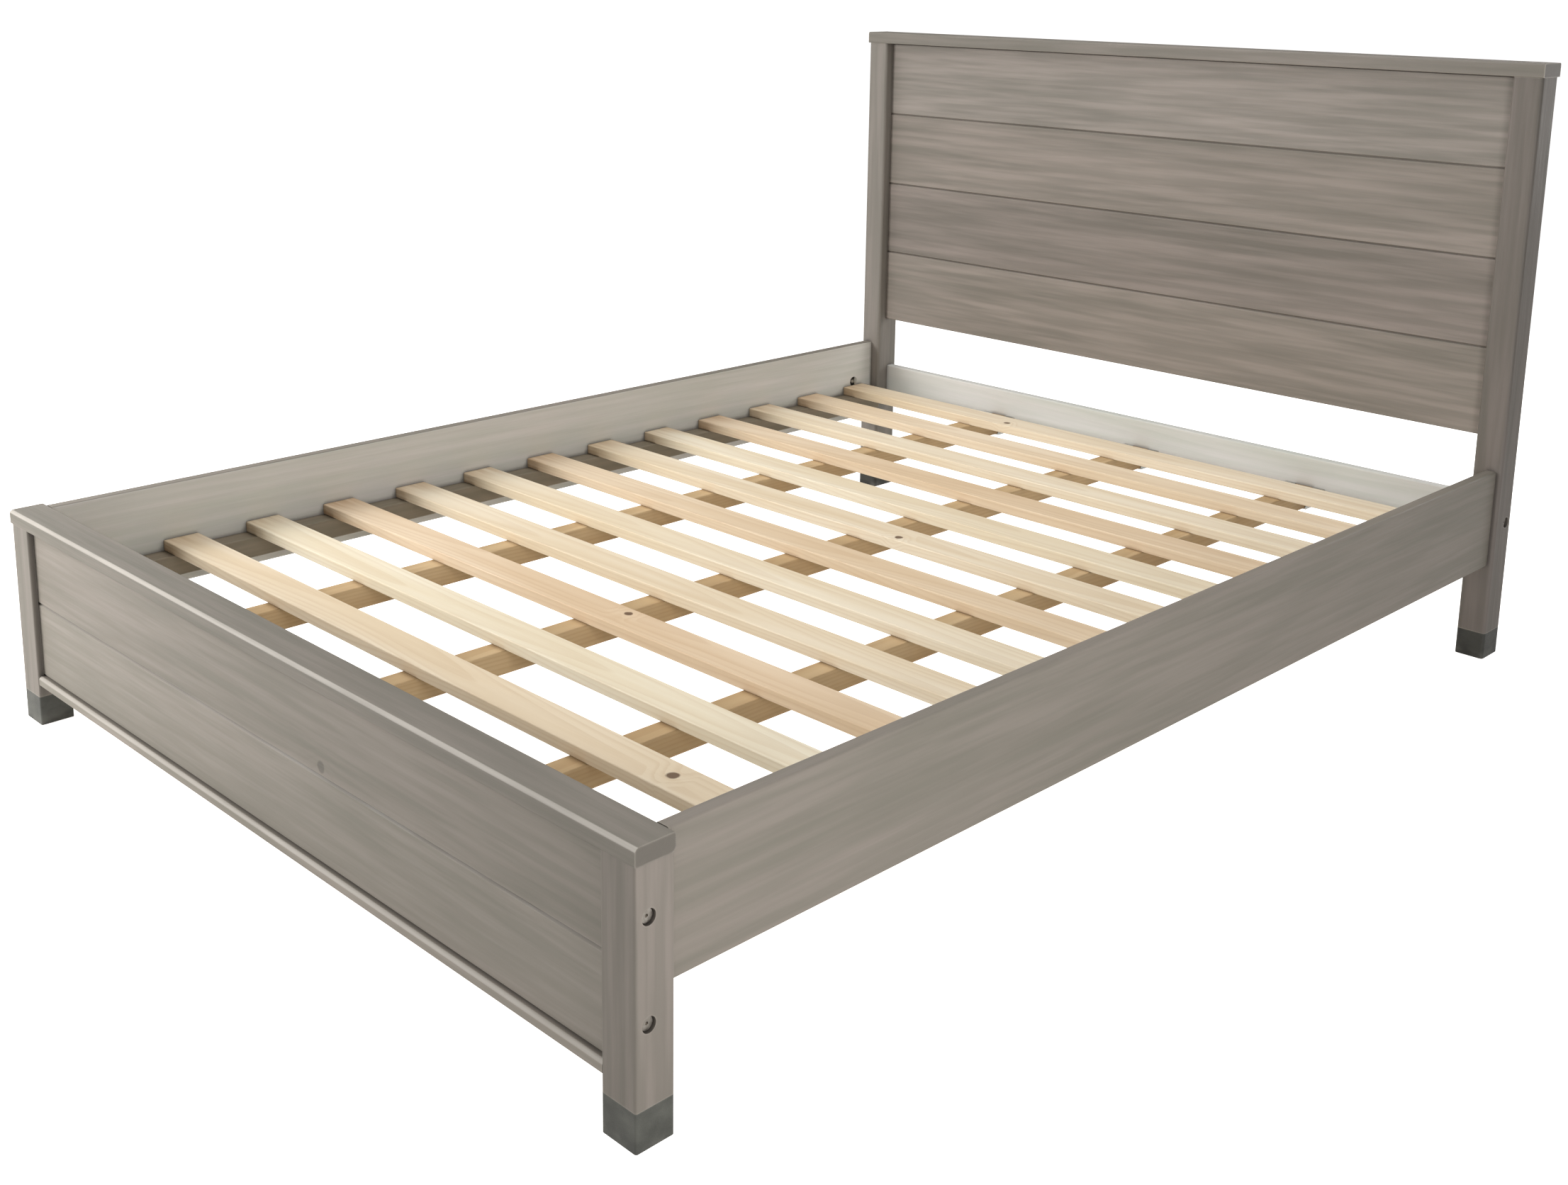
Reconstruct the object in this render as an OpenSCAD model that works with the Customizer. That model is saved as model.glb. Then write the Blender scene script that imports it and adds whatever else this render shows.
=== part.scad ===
// Panel bed frame in stained pine: a plank headboard and a low plank footboard on square
// posts, two deep side rails, and a slatted deck on ledgers and lengthwise bearers.
// X runs across the bed, Y from the footboard to the headboard, and Z up from the floor.
// The origin lies on the floor, under the middle of the bed.

/* [Mattress] */
// Width of the mattress that the frame takes
mattress_w = 1524; // [900:1:2000]
// Length of the mattress
mattress_l = 2032; // [1600:1:2200]
// Room between the mattress and each side rail
side_gap = 3; // [1:0.5:15]
// Room between the mattress and the posts at each end
end_gap = 4; // [3:0.5:20]

/* [Headboard] */
// Height of the headboard over its cap
head_h = 1110; // [800:1:1400]
// Width of a head post, across the bed
head_post_w = 54; // [44:1:90]
// Depth of a head post, along the bed
head_post_d = 64; // [62:1:100]
// Thickness of the cap board on the headboard
head_cap_t = 25; // [18:0.5:40]
// How far the headboard planks lie behind the fronts of the posts
head_recess = 22; // [4:0.5:24]
// Number of planks in the headboard
head_planks = 4; // [4]
// Open gap between the lower head rail and the planks
head_gap = 118; // [60:1:250]
// Height of the lower head rail
low_rail_h = 89; // [60:1:140]
// Thickness of the lower head rail
low_rail_t = 20; // [18:0.5:28]
// How far the lower head rail lies behind the fronts of the posts
low_rail_setback = 33; // [4:0.5:36]
// How far the lower head rail stands above the slats
low_rail_rise = 40; // [25:1:80]

/* [Footboard] */
// Height of the footboard over its cap, which is also the top of the side rails
foot_h = 365; // [320:1:600]
// Width of a foot post, across the bed
foot_post_w = 58; // [44:1:90]
// Depth of a foot post, along the bed
foot_post_d = 56; // [46:1:90]
// Thickness of the cap board on the footboard
foot_cap_t = 23; // [18:0.5:40]
// How far the footboard planks lie behind the fronts of the posts
foot_recess = 10; // [4:0.5:20]
// Height of the underside of the footboard's bottom rail
foot_rail_z = 71; // [60:1:110]
// Height of the bottom rail
foot_rail_h = 16; // [14:0.5:30]
// Depth of the bottom rail, along the bed
foot_rail_d = 36; // [34:0.5:44]

/* [Planks and caps] */
// Thickness of the headboard and footboard planks
plank_t = 18; // [14:0.5:20]
// Thickness of the tongue that joins one plank to the next
tongue_t = 6; // [4:0.5:7]
// Height of that tongue
tongue_h = 7; // [4:0.5:9]
// Width of the bevel that makes the V groove between planks
vee = 3; // [1:0.5:4]
// How deep the plank ends are let into the posts
housing = 10; // [6:0.5:14]
// How far the caps stand out past the posts, except over the side rails
cap_over = 2; // [0:0.5:8]

/* [Side rails] */
// Height of a side rail
rail_h = 183; // [150:1:220]
// Thickness of a side rail
rail_t = 20; // [18:0.5:28]
// How far a side rail lies inside the outer faces of the posts
rail_inset = 10; // [2:0.5:14]

/* [Deck] */
// Drop from the top of the side rails to the slats
deck_drop = 100; // [80:1:120]
// Width of a slat
slat_w = 66; // [50:1:90]
// Thickness of a slat
slat_t = 19; // [16:0.5:24]
// Space from the posts to the first and last slats
slat_end_space = 32; // [10:1:60]
// Side of the square ledgers that carry the slat ends
ledger_s = 38; // [28:1:45]
// Side of the square bearers under the slats
bearer_s = 38; // [28:1:45]
// Distance between the bearers
bearer_pitch = 390; // [200:1:450]

/* [Shoes] */
// Height of the dark shoe on each leg
shoe_h = 50; // [35:1:65]
// Wall of a shoe
shoe_wall = 3; // [3:0.5:5]
// Floor of a shoe
shoe_floor = 5; // [4:0.5:10]

/* [Fixings] */
// Distance from the end of a side rail to the middle of its nut pocket
pocket_in = 62; // [40:1:90]
// Diameter of the nut pocket
pocket_d = 24; // [22:0.5:30]
// Thread diameter of the rail bolts
rail_bolt_d = 8; // [6:1:8]
// How deep a rail bolt is screwed into its post
rail_bolt_depth = 30; // [22:1:30]
// Thread diameter of the bolts through the posts into the boards
board_bolt_d = 6; // [5:1:6]
// Diameter of their heads
bolt_head_d = 17; // [12:0.5:18]
// Diameter of the counterbore that sinks a bolt head
sink_d = 20; // [19:0.5:24]
// Depth of that counterbore
sink_depth = 7; // [5:0.5:12]
// Diameter of the wooden dowels
dowel_d = 8; // [6:0.5:8]
// Shank diameter of the wood screws
screw_d = 4; // [3:0.5:5]

/* [Hidden] */

$fn = 48;

// Slack round a glued or housed wooden joint, on each side
fit = 0.2;
// Slack round a thread or a screw in its hole, on the radius
thread_fit = 0.1;
// Slack round a bolt that passes through a board, on the radius
bolt_fit = 0.4;
// Radius on the upright edges of the head posts
head_ease = 6;
// Radius on the long edges of the foot posts and rails
ease = 3;
// Radius on the long edges of the slats, ledgers and bearers
slat_ease = 2;
// Radii along the caps and the bottom rail: low front, low back, high back, high front
head_cap_radii = [2, 2, 4, 4];
foot_cap_radii = [2, 8, 3, 6];
bottom_rail_radii = [2, 2, 2, 6];

// Overall sizes, over the posts
bed_w = mattress_w + 2 * (side_gap + rail_t + rail_inset);
bed_l = foot_post_d + mattress_l + 2 * end_gap + head_post_d;
half_w = bed_w / 2;
foot_y = -bed_l / 2;
head_y = bed_l / 2;

// Faces of the posts that look into the bed
foot_in_y = foot_y + foot_post_d;
head_in_y = head_y - head_post_d;

// Side rails and deck
rail_top = foot_h;
rail_z = rail_top - rail_h;
rail_mid_z = rail_z + rail_h / 2;
rail_in_x = half_w - rail_inset - rail_t;
rail_mid_x = half_w - rail_inset - rail_t / 2;
rail_len = head_in_y - foot_in_y;
deck_z = rail_top - deck_drop;
slat_z = deck_z - slat_t;
ledger_z = slat_z - ledger_s;
bearer_z = slat_z - bearer_s;
slat_end_gap = 1.5;
slat_len = 2 * (rail_in_x - slat_end_gap);
slat_count = 13;
slat_pitch = (rail_len - 2 * slat_end_space - slat_w) / (slat_count - 1);
function slat_y(i) = foot_in_y + slat_end_space + slat_w / 2 + i * slat_pitch;

// Lower head rail
low_rail_top = deck_z + low_rail_rise;
low_rail_z = low_rail_top - low_rail_h;
low_rail_mid_z = low_rail_z + low_rail_h / 2;
low_rail_y = head_in_y + low_rail_setback;
low_rail_mid_y = low_rail_y + low_rail_t / 2;

// Headboard planks
head_panel_z = low_rail_top + head_gap;
head_cap_z = head_h - head_cap_t;
head_plank_h = (head_cap_z - head_panel_z) / head_planks;
head_plank_y = head_in_y + head_recess;

// Footboard planks
foot_panel_z = foot_rail_z + foot_rail_h;
foot_cap_z = foot_h - foot_cap_t;
foot_plank_h = (foot_cap_z - foot_panel_z) / 2;
foot_plank_y = foot_y + foot_recess;
foot_plank_mid_y = foot_plank_y + plank_t / 2;
foot_plank_in_y = foot_plank_y + plank_t;
foot_bolt_zs = [foot_panel_z + foot_plank_h / 2, foot_panel_z + foot_plank_h * 3 / 2];

// Bearers butt against the footboard planks and the lower head rail
bearer_gap = 2;
bearer_y0 = foot_plank_in_y + bearer_gap;
bearer_y1 = low_rail_y - bearer_gap;

// Rail joint: two dowels, with a bolt between them
dowel_spread = 55;
dowel_in_post = 20;
dowel_in_rail = 28;
dowel_end_slack = 1;
nut_af = 13;
nut_t = 6.5;
nut_slack = 0.7;
pocket_depth = rail_t / 2 + nut_af / 2 + nut_slack;
washer_flat = 3;
thread_past_nut = 2;

// Bolts into the boards, and the cross dowels that they screw into
cross_dowel_d = 10;
cross_dowel_in = 34;
cross_dowel_l = 12;
bolt_past_dowel = 4;
bolt_head_t = 3;
socket_af = 4;
socket_depth = 2.4;

// Cap dowels, which stand in the tops of the posts
cap_dowel_d = 10;
cap_dowel_in_cap = 14;
cap_dowel_in_post = 24;

// Screws
screw_tip_slack = 0.5;
screw_head_d = 2 * screw_d;
screw_head_t = screw_d * 0.65;
slat_screw_l = 50;
ledger_screw_l = 50;
hanger_screw_l = 14;
hanger_screw_head_d = 1.75 * screw_d;
hanger_screw_head_t = 2;
shoe_screw_l = 35;
ledger_screw_count = 7;
ledger_end_gap = 10;

// Bearer hangers, folded from steel sheet
sheet = 2;
hanger_depth = 30;
hanger_flange = 22;
hanger_slack = 0.5;
hanger_screw_rise = [16, 30];

grey_pine = "#8f877d";
grey_pine_dark = "#7d766d";
pale_pine = "#dfc9a4";
charcoal = "#3b3a36";
steel = "silver";
beech = "#c9a26e";

// ---- shapes that repeat ----

// A rectangle with its corners rounded by true arcs, one radius for each corner
// in the order: low left, low right, high right, high left
module eased_rect(w, h, r) {
    difference() {
        square([w, h]);
        for (c = [[0, 0, r[0]], [w, 0, r[1]], [w, h, r[2]], [0, h, r[3]]])
            corner_waste(c[0], c[1], c[2], w, h);
    }
}

// The waste outside the arc at one corner of a rectangle
module corner_waste(x, y, r, w, h) {
    sx = x > w / 2 ? -1 : 1;
    sy = y > h / 2 ? -1 : 1;
    if (r > 0)
        translate([x, y])
            into_quarter(sx, sy)
                difference() {
                    translate([-1, -1]) square(r + 1);
                    translate([r, r]) circle(r);
                }
}

// Mirrors its children into the quarter given by the two signs
module into_quarter(sx, sy) {
    mirror([sx < 0 ? 1 : 0, 0])
        mirror([0, sy < 0 ? 1 : 0])
            children();
}

// An upright bar with eased corners
module upright(w, d, h, r) {
    linear_extrude(h) eased_rect(w, d, [r, r, r, r]);
}

// Lays a profile, drawn as depth and height, along the bed's width, about the middle
module across(length) {
    translate([-length / 2, 0, 0])
        rotate([90, 0, 90])
            linear_extrude(length)
                children();
}

// Lays a profile, drawn as width and height, along the bed, from y0 to y1
module along(y0, y1) {
    translate([0, y1, 0])
        rotate([90, 0, 0])
            linear_extrude(y1 - y0)
                children();
}

// A round hole or pin along X, from x0 to x1
module round_x(x0, x1, y, z, d) {
    translate([x0, y, z]) rotate([0, 90, 0]) cylinder(h = x1 - x0, d = d);
}

// A round hole or pin along Y, from y0 to y1
module round_y(x, y0, y1, z, d) {
    translate([x, y0, z]) rotate([-90, 0, 0]) cylinder(h = y1 - y0, d = d);
}

// A round hole or pin along Z, from z0 to z1
module round_z(x, y, z0, z1, d) {
    translate([x, y, z0]) cylinder(h = z1 - z0, d = d);
}

// Puts its children on both sides of the bed
module both_sides() {
    children();
    mirror([1, 0, 0]) children();
}

// Makes the left-hand piece out of the right-hand one
module left_hand() {
    mirror([1, 0, 0]) children();
}

// A countersunk wood screw standing on its head, pointing up, with its flat face at z = 0
module wood_screw(length) {
    cylinder(h = screw_head_t, d1 = screw_head_d, d2 = screw_d);
    cylinder(h = length, d = screw_d);
}

// The hole that a screw needs: countersink, shank and a little room past the point. The
// countersink starts outside the wood and reaches into the cone by a hair.
module screw_hole(length) {
    slack = 2 * thread_fit;
    outside = 1;
    hair = 0.05;
    translate([0, 0, -outside]) cylinder(h = outside + hair, d = screw_head_d + slack);
    cylinder(h = screw_head_t, d1 = screw_head_d + slack, d2 = screw_d + slack);
    cylinder(h = length + screw_tip_slack, d = screw_d + slack);
}

// ---- posts and shoes ----

// The part of a post inside its shoe, for a post of this width and depth
module shoe_tenon(w, d) {
    inset = shoe_wall + fit;
    translate([inset, inset, shoe_floor])
        cube([w - 2 * inset, d - 2 * inset, shoe_h - shoe_floor + 1]);
}

module shoe(w, d, r) {
    color(charcoal)
        difference() {
            upright(w, d, shoe_h, r);
            translate([shoe_wall, shoe_wall, shoe_floor])
                cube([w - 2 * shoe_wall, d - 2 * shoe_wall, shoe_h]);
            translate([w / 2, d / 2, 0]) screw_hole(shoe_screw_l);
        }
}

// The holes where a side rail meets a post face at y; inward is +1 if the post lies on
// the +Y side of that face
module rail_joint_holes(y, inward) {
    round_y_from(rail_mid_x, y, inward * (rail_bolt_depth + 1), rail_mid_z,
        rail_bolt_d + 2 * thread_fit);
    for (dz = [-dowel_spread, dowel_spread])
        round_y_from(rail_mid_x, y, inward * (dowel_in_post + dowel_end_slack),
            rail_mid_z + dz, dowel_d + 2 * thread_fit);
}

// A round hole along Y that starts just outside y and runs the signed depth
module round_y_from(x, y, depth, z, d) {
    outside = depth > 0 ? -1 : 1;
    y0 = min(y + outside, y + depth);
    y1 = max(y + outside, y + depth);
    round_y(x, y0, y1, z, d);
}

// The hole and counterbore for a bolt through a right-hand post along X
module board_bolt_hole(post_w, y, z) {
    round_x(half_w - post_w - 1, half_w, y, z, board_bolt_d + 2 * bolt_fit);
    round_x(half_w - sink_depth, half_w + 1, y, z, sink_d);
}

module head_post_right() {
    x0 = half_w - head_post_w;
    slot_z = head_panel_z - fit;
    color(grey_pine)
        difference() {
            union() {
                translate([x0, head_in_y, shoe_h])
                    upright(head_post_w, head_post_d, head_cap_z - shoe_h, head_ease);
                translate([x0, head_in_y, 0]) shoe_tenon(head_post_w, head_post_d);
            }
            // housing for the plank ends, open at the top
            translate([x0 - 1, head_plank_y - fit, slot_z])
                cube([housing + 1, plank_t + 2 * fit, head_h]);
            board_bolt_hole(head_post_w, low_rail_mid_y, low_rail_mid_z);
            for (dz = [-1, 1])
                round_x(x0 - 1, x0 + dowel_in_post + dowel_end_slack, low_rail_mid_y,
                    low_rail_mid_z + dz * low_rail_h / 4, dowel_d + 2 * thread_fit);
            rail_joint_holes(head_in_y, 1);
            round_z(half_w - head_post_w / 2, head_y - head_post_d / 2,
                head_cap_z - cap_dowel_in_post - dowel_end_slack, head_cap_z + 1,
                cap_dowel_d + 2 * thread_fit);
            translate([half_w - head_post_w / 2, head_y - head_post_d / 2, 0])
                screw_hole(shoe_screw_l);
        }
}

module foot_post_right() {
    x0 = half_w - foot_post_w;
    slot_z = foot_panel_z - fit;
    color(grey_pine)
        difference() {
            union() {
                translate([x0, foot_y, shoe_h])
                    upright(foot_post_w, foot_post_d, foot_cap_z - shoe_h, ease);
                translate([x0, foot_y, 0]) shoe_tenon(foot_post_w, foot_post_d);
            }
            // housing for the plank ends, open at the top
            translate([x0 - 1, foot_plank_y - fit, slot_z])
                cube([housing + 1, plank_t + 2 * fit, foot_h]);
            for (z = foot_bolt_zs)
                board_bolt_hole(foot_post_w, foot_plank_mid_y, z);
            for (y = bottom_dowel_ys)
                round_x(x0 - 1, x0 + dowel_in_post + dowel_end_slack, y,
                    foot_rail_z + foot_rail_h / 2, dowel_d + 2 * thread_fit);
            rail_joint_holes(foot_in_y, -1);
            round_z(half_w - foot_post_w / 2, foot_y + foot_post_d / 2,
                foot_cap_z - cap_dowel_in_post - dowel_end_slack, foot_cap_z + 1,
                cap_dowel_d + 2 * thread_fit);
            translate([half_w - foot_post_w / 2, foot_y + foot_post_d / 2, 0])
                screw_hole(shoe_screw_l);
        }
}

module head_post_left() left_hand() head_post_right();
module foot_post_left() left_hand() foot_post_right();

module shoe_head_right()
    translate([half_w - head_post_w, head_in_y, 0])
        shoe(head_post_w, head_post_d, head_ease);
module shoe_foot_right()
    translate([half_w - foot_post_w, foot_y, 0]) shoe(foot_post_w, foot_post_d, ease);
module shoe_head_left() left_hand() shoe_head_right();
module shoe_foot_left() left_hand() shoe_foot_right();

// ---- planks ----

// Section of a plank: a tongue on top, a groove below, and bevels on the front edges
module plank_profile(h, grooved) {
    t0 = (plank_t - tongue_t) / 2;
    difference() {
        union() {
            polygon([
                [vee, 0], [plank_t, 0], [plank_t, h], [vee, h], [0, h - vee], [0, vee]
            ]);
            translate([t0, 0]) square([tongue_t, h + tongue_h]);
        }
        if (grooved)
            translate([t0 - fit, -1])
                square([tongue_t + 2 * fit, 1 + tongue_h + fit]);
    }
}

// Holes in both ends of a board for its bolts and cross dowels. The cross dowels go in
// from the face at back_y, towards the front.
module board_bolt_holes_in(end_x, y, z, back_y) {
    dowel_x = end_x - cross_dowel_in;
    both_sides() {
        round_x(dowel_x - cross_dowel_d / 2 - bolt_past_dowel - 2, end_x + 1, y, z,
            board_bolt_d + 2 * bolt_fit);
        round_y(dowel_x, y - cross_dowel_l / 2, back_y + 1, z,
            cross_dowel_d + 2 * thread_fit);
    }
}

module head_plank(k) {
    z = head_cap_z - k * head_plank_h;
    length = bed_w - 2 * (head_post_w - housing + fit);
    color(k % 2 == 0 ? grey_pine : grey_pine_dark)
        translate([0, head_plank_y, z])
            across(length) plank_profile(head_plank_h, k < head_planks);
}
module head_plank_1() head_plank(1);
module head_plank_2() head_plank(2);
module head_plank_3() head_plank(3);
module head_plank_4() head_plank(4);

module foot_plank(k) {
    z = foot_panel_z + k * foot_plank_h;
    length = bed_w - 2 * (foot_post_w - housing + fit);
    color(k == 0 ? grey_pine_dark : grey_pine)
        difference() {
            translate([0, foot_plank_y, z])
                across(length) plank_profile(foot_plank_h, true);
            board_bolt_holes_in(length / 2, foot_plank_mid_y, z + foot_plank_h / 2,
                foot_plank_in_y);
            for (x = bearer_xs, side = [-1, 1], rise = hanger_screw_rise)
                translate([x + side * hanger_screw_x, foot_plank_in_y, hanger_z + rise])
                    rotate([90, 0, 0])
                        cylinder(h = hanger_screw_l, d = screw_d + 2 * thread_fit,
                            center = true);
        }
}
module foot_plank_lower() foot_plank(0);
module foot_plank_upper() foot_plank(1);

// ---- caps ----

// A cap board over two posts, from y0 to y1 along the bed: its section is drawn in depth
// and height, and a groove underneath takes the tongue of the top plank
module cap(y0, y1, t, z, radii, groove_y, groove_len, dowel_x, dowel_y) {
    color(grey_pine_dark)
        difference() {
            translate([0, y0, z])
                across(bed_w + 2 * cap_over) eased_rect(y1 - y0, t, radii);
            translate([-groove_len / 2, groove_y - fit, z - 1])
                cube([groove_len, tongue_t + 2 * fit, 1 + tongue_h + fit]);
            both_sides()
                round_z(dowel_x, dowel_y, z - 1, z + cap_dowel_in_cap + dowel_end_slack,
                    cap_dowel_d + 2 * thread_fit);
        }
}

module head_cap()
    cap(head_in_y - cap_over, head_y + cap_over, head_cap_t, head_cap_z,
        head_cap_radii,
        head_plank_y + (plank_t - tongue_t) / 2, bed_w - 2 * (head_post_w - housing),
        half_w - head_post_w / 2, head_y - head_post_d / 2);

module foot_cap()
    cap(foot_y - cap_over, foot_in_y, foot_cap_t, foot_cap_z, foot_cap_radii,
        foot_plank_y + (plank_t - tongue_t) / 2, bed_w - 2 * (foot_post_w - housing),
        half_w - foot_post_w / 2, foot_y + foot_post_d / 2);

// ---- cross rails ----

// Its dowels stand this share of its depth in from its front and its back
bottom_dowel_in = 0.28;
bottom_dowel_ys = [
    foot_y + foot_rail_d * bottom_dowel_in,
    foot_y + foot_rail_d * (1 - bottom_dowel_in)
];
// How far its front lies behind the fronts of the posts
bottom_rail_setback = 1;

module foot_bottom_rail() {
    length = bed_w - 2 * foot_post_w;
    tongue_y = foot_recess - bottom_rail_setback + (plank_t - tongue_t) / 2;
    color(grey_pine)
        difference() {
            translate([0, foot_y + bottom_rail_setback, foot_rail_z])
                across(length)
                    union() {
                        eased_rect(foot_rail_d - bottom_rail_setback, foot_rail_h,
                            bottom_rail_radii);
                        translate([tongue_y, foot_rail_h - 2])
                            square([tongue_t, 2 + tongue_h]);
                    }
            for (y = bottom_dowel_ys)
                both_sides()
                    round_x(length / 2 - dowel_in_rail - dowel_end_slack, length / 2 + 1, y,
                        foot_rail_z + foot_rail_h / 2, dowel_d + 2 * thread_fit);
        }
}

module lower_head_rail() {
    length = bed_w - 2 * head_post_w;
    color(grey_pine)
        difference() {
            translate([0, low_rail_y, low_rail_z])
                across(length)
                    eased_rect(low_rail_t, low_rail_h, [ease, ease, ease, ease]);
            board_bolt_holes_in(length / 2, low_rail_mid_y, low_rail_mid_z,
                low_rail_y + low_rail_t);
            for (dz = [-1, 1])
                both_sides()
                    round_x(length / 2 - dowel_in_rail - dowel_end_slack, length / 2 + 1,
                        low_rail_mid_y, low_rail_mid_z + dz * low_rail_h / 4,
                        dowel_d + 2 * thread_fit);
            for (x = bearer_xs, side = [-1, 1], rise = hanger_screw_rise)
                translate([x + side * hanger_screw_x, low_rail_y, hanger_z + rise])
                    rotate([90, 0, 0])
                        cylinder(h = 2 * hanger_screw_l, d = screw_d + 2 * thread_fit,
                            center = true);
        }
}

// ---- side rails and ledgers ----

// One end of a side rail, cut out of it: bolt bore, nut pocket and dowel holes. The end
// lies at y, and inward is the sign of the way into the rail.
module rail_end_holes(y, inward) {
    pocket_y = y + inward * pocket_in;
    round_y_from(rail_mid_x, y, inward * pocket_in, rail_mid_z, rail_bolt_d + 2 * bolt_fit);
    round_x(rail_in_x - 1, rail_in_x + pocket_depth, pocket_y, rail_mid_z, pocket_d);
    for (dz = [-dowel_spread, dowel_spread])
        round_y_from(rail_mid_x, y, inward * (dowel_in_rail + dowel_end_slack),
            rail_mid_z + dz, dowel_d + 2 * thread_fit);
}

module side_rail_right() {
    color(grey_pine)
        difference() {
            translate([rail_in_x, 0, rail_z])
                along(foot_in_y, head_in_y)
                    eased_rect(rail_t, rail_h, [ease, ease, ease, ease]);
            rail_end_holes(foot_in_y, 1);
            rail_end_holes(head_in_y, -1);
            for (y = ledger_screw_ys)
                round_x(rail_in_x - 1, ledger_screw_tip_x + screw_tip_slack, y, ledger_mid_z,
                    screw_d + 2 * thread_fit);
        }
}
module side_rail_left() left_hand() side_rail_right();

ledger_mid_z = ledger_z + ledger_s / 2;
ledger_x0 = rail_in_x - ledger_s;
ledger_screw_tip_x = ledger_x0 + ledger_screw_l;
ledger_y0 = foot_in_y + ledger_end_gap;
ledger_y1 = head_in_y - ledger_end_gap;
// Ledger screws pass halfway between slats, clear of the screws that hold the slats
ledger_screw_ys = [
    for (i = [0 : ledger_screw_count - 1])
        slat_y(2 * i) + (i < ledger_screw_count - 1 ? 0.5 : -0.5) * slat_pitch
];

module ledger_right() {
    color(grey_pine_dark)
        difference() {
            translate([ledger_x0, 0, ledger_z])
                along(ledger_y0, ledger_y1)
                    eased_rect(ledger_s, ledger_s,
                        [slat_ease, slat_ease, slat_ease, slat_ease]);
            for (y = ledger_screw_ys)
                translate([ledger_x0, y, ledger_mid_z])
                    rotate([0, 90, 0]) screw_hole(ledger_screw_l);
            for (i = [0 : slat_count - 1])
                translate([ledger_x0 + ledger_s / 2, slat_y(i), ledger_z])
                    screw_hole(slat_screw_l);
        }
}
module ledger_left() left_hand() ledger_right();

// ---- bearers, slats and hangers ----

bearer_xs = [-bearer_pitch, 0, bearer_pitch];
slat_screw_xs = [-(rail_in_x - ledger_s / 2), rail_in_x - ledger_s / 2];

module bearer(x) {
    color(pale_pine)
        difference() {
            translate([x - bearer_s / 2, 0, bearer_z])
                along(bearer_y0, bearer_y1)
                    eased_rect(bearer_s, bearer_s,
                        [slat_ease, slat_ease, slat_ease, slat_ease]);
            for (i = [0 : slat_count - 1])
                translate([x, slat_y(i), bearer_z]) screw_hole(slat_screw_l);
        }
}
module bearer_left() bearer(-bearer_pitch);
module bearer_middle() bearer(0);
module bearer_right() bearer(bearer_pitch);

module slat(k) {
    y = slat_y(k - 1);
    color(pale_pine)
        difference() {
            translate([0, y - slat_w / 2, slat_z])
                across(slat_len)
                    eased_rect(slat_w, slat_t,
                        [slat_ease, slat_ease, slat_ease, slat_ease]);
            for (x = slat_screw_xs)
                translate([x, y, ledger_z]) screw_hole(slat_screw_l);
            for (x = bearer_xs)
                translate([x, y, bearer_z]) screw_hole(slat_screw_l);
        }
}
module slat_01() slat(1);
module slat_02() slat(2);
module slat_03() slat(3);
module slat_04() slat(4);
module slat_05() slat(5);
module slat_06() slat(6);
module slat_07() slat(7);
module slat_08() slat(8);
module slat_09() slat(9);
module slat_10() slat(10);
module slat_11() slat(11);
module slat_12() slat(12);
module slat_13() slat(13);

hanger_z = bearer_z - sheet - fit;
hanger_in = bearer_s / 2 + hanger_slack;
hanger_screw_x = hanger_in + sheet + hanger_flange / 2;
hanger_h = bearer_s + sheet + fit;

// A hanger that faces +Y, with its back on the plane y = 0 and the bearer at x = 0
module hanger() {
    color(steel)
        difference() {
            union() {
                translate([-hanger_in - sheet, 0, 0])
                    cube([2 * (hanger_in + sheet), hanger_depth, sheet]);
                both_sides() {
                    translate([hanger_in, 0, 0]) cube([sheet, hanger_depth, hanger_h]);
                    translate([hanger_in, 0, 0])
                        cube([sheet + hanger_flange, sheet, hanger_h]);
                }
            }
            for (rise = hanger_screw_rise)
                both_sides()
                    round_y(hanger_screw_x, -1, sheet + 1, rise, screw_d + 2 * bolt_fit);
        }
}

// Puts its children at each of the six bearer ends, facing into the bed
module at_bearer_ends() {
    for (x = bearer_xs) {
        translate([x, foot_plank_in_y, hanger_z]) children();
        translate([x, low_rail_y, hanger_z]) mirror([0, 1, 0]) children();
    }
}

module bearer_hangers() at_bearer_ends() hanger();

// A round-head screw through each hanger hole
module hanger_screws()
    color(steel)
        at_bearer_ends()
            for (rise = hanger_screw_rise)
                both_sides() {
                    round_y(hanger_screw_x, sheet, sheet + hanger_screw_head_t, rise,
                        hanger_screw_head_d);
                    round_y(hanger_screw_x, sheet - hanger_screw_l / 2,
                        sheet + hanger_screw_head_t / 2, rise, screw_d);
                }

// ---- screws ----

module slat_screws()
    color(steel)
        for (i = [0 : slat_count - 1]) {
            for (x = slat_screw_xs)
                translate([x, slat_y(i), ledger_z]) wood_screw(slat_screw_l);
            for (x = bearer_xs)
                translate([x, slat_y(i), bearer_z]) wood_screw(slat_screw_l);
        }

module ledger_screws()
    color(steel)
        both_sides()
            for (y = ledger_screw_ys)
                translate([ledger_x0, y, ledger_mid_z])
                    rotate([0, 90, 0]) wood_screw(ledger_screw_l);

module shoe_screws()
    color(steel)
        both_sides() {
            translate([half_w - head_post_w / 2, head_y - head_post_d / 2, 0])
                wood_screw(shoe_screw_l);
            translate([half_w - foot_post_w / 2, foot_y + foot_post_d / 2, 0])
                wood_screw(shoe_screw_l);
        }

// ---- rail joints ----

// Puts its children at the four rail ends, with the post face at y = 0 and the rail
// running towards +Y
module at_rail_ends()
    both_sides() {
        translate([rail_mid_x, foot_in_y, rail_mid_z]) children();
        translate([rail_mid_x, head_in_y, rail_mid_z]) mirror([0, 1, 0]) children();
    }

nut_y = pocket_in - washer_flat;

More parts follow.
